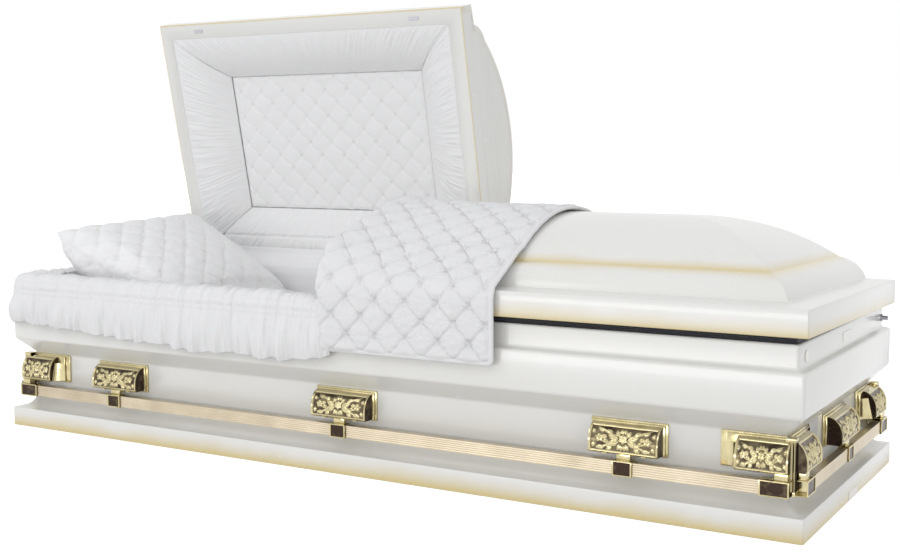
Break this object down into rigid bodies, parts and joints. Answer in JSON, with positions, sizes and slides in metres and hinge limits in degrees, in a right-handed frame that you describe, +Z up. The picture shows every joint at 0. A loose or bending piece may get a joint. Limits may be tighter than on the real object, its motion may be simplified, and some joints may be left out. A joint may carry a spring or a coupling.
{
  "type": "half-couch burial casket",
  "caption": "Enamelled steel burial casket with a divided lid, head end open, cast bar handles, and a quilted crepe interior.",
  "frame": {"origin": "middle of the underside, where the floor stands on the ground", "axes": "+X along the casket from the head end to the foot end, +Y from the front to the hinges, +Z up"},
  "size_m": [2.1108, 0.9017, 1.1063],
  "materials": {
    "enamel": "glossy off-white enamel with gold shading sprayed along the edges",
    "casting": "polished gold-plated casting",
    "bar": "satin champagne gold",
    "latch": "plated steel",
    "seal": "matte black extrusion",
    "satin": "soft white satin",
    "crepe": "matte white crepe",
    "quilting": "quilted white crepe with a bound edge"
  },
  "bodies": {
    "shell": {"base_moulding": "enamel", "base_cove": "enamel", "bottom_pan": "enamel", "body_shell": "enamel", "strip_plate": "enamel", "base_plate": "enamel", "end_plug": "enamel", "hinge_leaf_1": "enamel", "hinge_leaf_2": "enamel", "hinge_leaf_3": "enamel", "hinge_leaf_4": "enamel", "lug_1": "casting", "lug_2": "casting", "lug_3": "casting", "lug_4": "casting", "lug_5": "casting", "lug_6": "casting", "lug_7": "casting", "lug_8": "casting", "arm_1": "casting", "arm_2": "casting", "arm_3": "casting", "arm_4": "casting", "arm_5": "casting", "arm_6": "casting", "arm_7": "casting", "arm_8": "casting", "corner_1": "casting", "corner_2": "casting", "corner_3": "casting", "corner_4": "casting", "bar_front": "bar", "bar_back": "bar", "bar_head": "bar", "bar_foot": "bar", "lock_knob": "latch", "rim_seal": "seal", "mattress": "satin", "lining_front": "satin", "lining_back": "satin", "lining_head": "satin", "lining_foot": "satin", "pillow": "crepe", "front_throw": "crepe"},
    "head_lid": {"head_lid": "enamel", "lid_panel": "crepe", "border_front": "crepe", "border_back": "crepe", "border_head": "crepe", "border_split": "crepe", "latch_plate_a": "latch", "latch_plate_b": "latch", "hinge_strap_1": "enamel", "hinge_strap_2": "enamel"},
    "foot_lid": {"foot_lid": "enamel", "foot_lid_lining": "crepe", "quilt": "quilting", "hinge_strap_3": "enamel", "hinge_strap_4": "enamel"}
  },
  "joints": [
    {"name": "head_lid_hinge", "type": "hinge", "parent": "shell", "child": "head_lid", "pos_m": [-0.5365, 0.3725, 0.367], "axis": [1, 0, 0], "range_deg": [0, 77.8], "deforming": ["pillow", "front_throw"]},
    {"name": "foot_lid_hinge", "type": "hinge", "parent": "shell", "child": "foot_lid", "pos_m": [0.5205, 0.3725, 0.367], "axis": [1, 0, 0], "range_deg": [-77, 0]}
  ]
}
